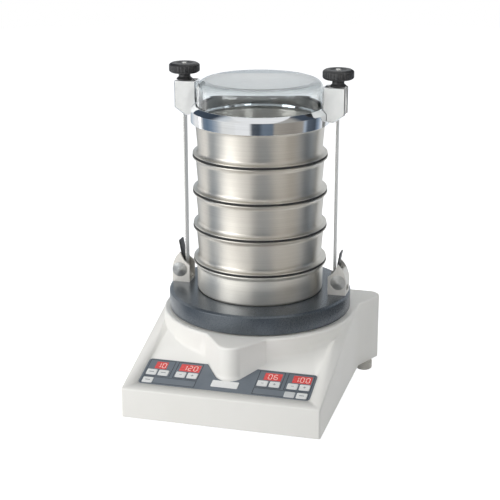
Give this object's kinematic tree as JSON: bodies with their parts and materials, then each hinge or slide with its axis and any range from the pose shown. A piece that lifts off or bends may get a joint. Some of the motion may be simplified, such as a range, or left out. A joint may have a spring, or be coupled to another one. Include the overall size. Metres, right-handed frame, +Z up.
{
  "type": "sieve shaker",
  "caption": "Laboratory vibratory shaker: a stack of round test sieves with clear lid, clamped by straps to a sprung plate over a sloping control housing.",
  "frame": {"origin": "middle of the housing outline at bench level, under the rubber feet", "axes": "+Z up, the control panel faces -Y, +X to the right when facing the panel"},
  "size_m": [0.349, 0.3855, 0.4968],
  "materials": {
    "housing": "fine-grained moulded plastic, warm off-white",
    "base_steel": "zinc-plated sheet steel",
    "foot_rubber": "matt black rubber",
    "screw_steel": "zinc-plated screws",
    "panel_slate": "printed slate polyester sheet",
    "led_red": "red filter over seven-segment displays",
    "badge_white": "bare white plate",
    "board_green": "glass-fibre circuit board",
    "switch_black": "small push switches",
    "inlet_black": "moulded black inlet",
    "pin_brass": "plated contacts",
    "laminations": "varnished steel laminations",
    "winding": "enamelled copper wire",
    "cast_frame": "painted casting",
    "spring_steel": "oiled spring steel",
    "column_alloy": "turned aluminium",
    "plate_black": "dark anodised, lightly textured",
    "bracket_steel": "satin folded stainless steel",
    "lever_steel": "satin stainless sheet",
    "pin_steel": "turned stainless steel",
    "sieve_steel": "satin spun stainless steel",
    "mesh_steel": "woven stainless wire",
    "seal_rubber": "black sealing rubber",
    "ring_chrome": "polished ring, satin clevises",
    "lid_clear": "clear moulded plastic, polished",
    "strap_steel": "toothed steel strap",
    "knob_black": "textured black plastic",
    "key_grey": "pale key caps",
    "rocker_black": "moulded black rocker"
  },
  "bodies": {
    "base": {"housing_shell": "housing", "base_plate": "base_steel", "rubber_feet": "foot_rubber", "base_screws": "screw_steel", "panel_membrane": "panel_slate", "led_displays": "led_red", "badge_plate": "badge_white", "control_board": "board_green", "key_switches": "switch_black", "mains_inlet": "inlet_black", "inlet_pins": "pin_brass", "fuse_drawer": "inlet_black", "rocker_frame": "rocker_black", "transformer_core": "laminations", "transformer_coil": "winding", "driver_board": "board_green", "drive_frame": "cast_frame", "magnet_core": "laminations", "magnet_coil": "winding", "drive_springs": "spring_steel"},
    "head": {"armature": "laminations", "drive_column": "column_alloy", "sieve_plate": "plate_black", "bracket_right": "bracket_steel", "bracket_left": "bracket_steel", "bracket_pins": "pin_steel", "bracket_screws": "screw_steel"},
    "pan": {"collecting_pan": "sieve_steel"},
    "sieve_4": {"sieve_frame_4": "sieve_steel", "sieve_mesh_4": "mesh_steel", "seal_ring_4": "seal_rubber"},
    "sieve_3": {"sieve_frame_3": "sieve_steel", "sieve_mesh_3": "mesh_steel", "seal_ring_3": "seal_rubber"},
    "sieve_2": {"sieve_frame_2": "sieve_steel", "sieve_mesh_2": "mesh_steel", "seal_ring_2": "seal_rubber"},
    "sieve_1": {"sieve_frame_1": "sieve_steel", "sieve_mesh_1": "mesh_steel", "seal_ring_1": "seal_rubber"},
    "lid": {"clear_lid": "lid_clear"},
    "yoke": {"clamp_ring": "ring_chrome"},
    "strap_right": {"strap_right": "strap_steel"},
    "strap_left": {"strap_left": "strap_steel"},
    "knob_right": {"knob_right": "knob_black"},
    "knob_left": {"knob_left": "knob_black"},
    "lever_right": {"lever_right": "lever_steel"},
    "lever_left": {"lever_left": "lever_steel"},
    "key_left_1": {"key_left_1": "key_grey"},
    "key_left_2": {"key_left_2": "key_grey"},
    "key_left_3": {"key_left_3": "key_grey"},
    "key_left_4": {"key_left_4": "key_grey"},
    "key_left_5": {"key_left_5": "key_grey"},
    "key_right_1": {"key_right_1": "key_grey"},
    "key_right_2": {"key_right_2": "key_grey"},
    "key_right_3": {"key_right_3": "key_grey"},
    "key_right_4": {"key_right_4": "key_grey"},
    "key_right_5": {"key_right_5": "key_grey"},
    "key_right_6": {"key_right_6": "key_grey"},
    "rocker": {"rocker_key": "rocker_black"}
  },
  "joints": [
    {"name": "head_stroke", "type": "slide", "parent": "base", "child": "head", "axis": [0, 0, 1], "range_m": [-0.001, 0.001], "stiffness_N_per_m": 250000, "springref_m": 0.0005, "deforming": ["drive_springs"]},
    {"name": "pan_lift", "type": "slide", "parent": "head", "child": "pan", "axis": [0, 0, 1], "range_m": [0, 0.06]},
    {"name": "sieve_4_lift", "type": "slide", "parent": "pan", "child": "sieve_4", "axis": [0, 0, 1], "range_m": [0, 0.06]},
    {"name": "sieve_3_lift", "type": "slide", "parent": "sieve_4", "child": "sieve_3", "axis": [0, 0, 1], "range_m": [0, 0.06]},
    {"name": "sieve_2_lift", "type": "slide", "parent": "sieve_3", "child": "sieve_2", "axis": [0, 0, 1], "range_m": [0, 0.06]},
    {"name": "sieve_1_lift", "type": "slide", "parent": "sieve_2", "child": "sieve_1", "axis": [0, 0, 1], "range_m": [0, 0.06]},
    {"name": "lid_lift", "type": "slide", "parent": "sieve_1", "child": "lid", "axis": [0, 0, 1], "range_m": [0, 0.06]},
    {"name": "yoke_lift", "type": "slide", "parent": "lid", "child": "yoke", "axis": [0, 0, 1], "range_m": [0, 0.06]},
    {"name": "strap_right_draw", "type": "slide", "parent": "yoke", "child": "strap_right", "axis": [0, 0, 1], "range_m": [0, 0.0025]},
    {"name": "knob_right_turn", "type": "hinge", "parent": "yoke", "child": "knob_right", "pos_m": [0.1185, 0.04275, 0.48], "axis": [0, 0, -1], "range_deg": [0, 721]},
    {"name": "strap_left_draw", "type": "slide", "parent": "yoke", "child": "strap_left", "axis": [0, 0, 1], "range_m": [0, 0.0025]},
    {"name": "knob_left_turn", "type": "hinge", "parent": "yoke", "child": "knob_left", "pos_m": [-0.1185, 0.04275, 0.48], "axis": [0, 0, -1], "range_deg": [0, 721]},
    {"name": "lever_right_swing", "type": "hinge", "parent": "head", "child": "lever_right", "pos_m": [0.127, 0.04275, 0.1705], "axis": [0, 1, 0], "range_deg": [0, 12], "stiffness_Nm_per_rad": 0.05, "springref_deg": -14.32},
    {"name": "lever_left_swing", "type": "hinge", "parent": "head", "child": "lever_left", "pos_m": [-0.127, 0.04275, 0.1705], "axis": [0, -1, 0], "range_deg": [0, 12], "stiffness_Nm_per_rad": 0.05, "springref_deg": -14.32},
    {"name": "key_left_1_press", "type": "slide", "parent": "base", "child": "key_left_1", "axis": [0, 0.2402, -0.9707], "range_m": [0, 0.0004], "stiffness_N_per_m": 800, "springref_m": -0.001},
    {"name": "key_left_2_press", "type": "slide", "parent": "base", "child": "key_left_2", "axis": [0, 0.2402, -0.9707], "range_m": [0, 0.0004], "stiffness_N_per_m": 800, "springref_m": -0.001},
    {"name": "key_left_3_press", "type": "slide", "parent": "base", "child": "key_left_3", "axis": [0, 0.2402, -0.9707], "range_m": [0, 0.0004], "stiffness_N_per_m": 800, "springref_m": -0.001},
    {"name": "key_left_4_press", "type": "slide", "parent": "base", "child": "key_left_4", "axis": [0, 0.2402, -0.9707], "range_m": [0, 0.0004], "stiffness_N_per_m": 800, "springref_m": -0.001},
    {"name": "key_left_5_press", "type": "slide", "parent": "base", "child": "key_left_5", "axis": [0, 0.2402, -0.9707], "range_m": [0, 0.0004], "stiffness_N_per_m": 800, "springref_m": -0.001},
    {"name": "key_right_1_press", "type": "slide", "parent": "base", "child": "key_right_1", "axis": [0, 0.2402, -0.9707], "range_m": [0, 0.0004], "stiffness_N_per_m": 800, "springref_m": -0.001},
    {"name": "key_right_2_press", "type": "slide", "parent": "base", "child": "key_right_2", "axis": [0, 0.2402, -0.9707], "range_m": [0, 0.0004], "stiffness_N_per_m": 800, "springref_m": -0.001},
    {"name": "key_right_3_press", "type": "slide", "parent": "base", "child": "key_right_3", "axis": [0, 0.2402, -0.9707], "range_m": [0, 0.0004], "stiffness_N_per_m": 800, "springref_m": -0.001},
    {"name": "key_right_4_press", "type": "slide", "parent": "base", "child": "key_right_4", "axis": [0, 0.2402, -0.9707], "range_m": [0, 0.0004], "stiffness_N_per_m": 800, "springref_m": -0.001},
    {"name": "key_right_5_press", "type": "slide", "parent": "base", "child": "key_right_5", "axis": [0, 0.2402, -0.9707], "range_m": [0, 0.0004], "stiffness_N_per_m": 800, "springref_m": -0.001},
    {"name": "key_right_6_press", "type": "slide", "parent": "base", "child": "key_right_6", "axis": [0, 0.2402, -0.9707], "range_m": [0, 0.0004], "stiffness_N_per_m": 800, "springref_m": -0.001},
    {"name": "rocker_tilt", "type": "hinge", "parent": "base", "child": "rocker", "pos_m": [0.136, 0.14277, 0.075], "axis": [1, 0, 0], "range_deg": [0, 14]}
  ],
  "couplings": [
    {"joint": "knob_right_turn", "follows": "strap_right_draw", "rad_per_m": 5026.5},
    {"joint": "knob_left_turn", "follows": "strap_left_draw", "rad_per_m": 5026.5}
  ]
}
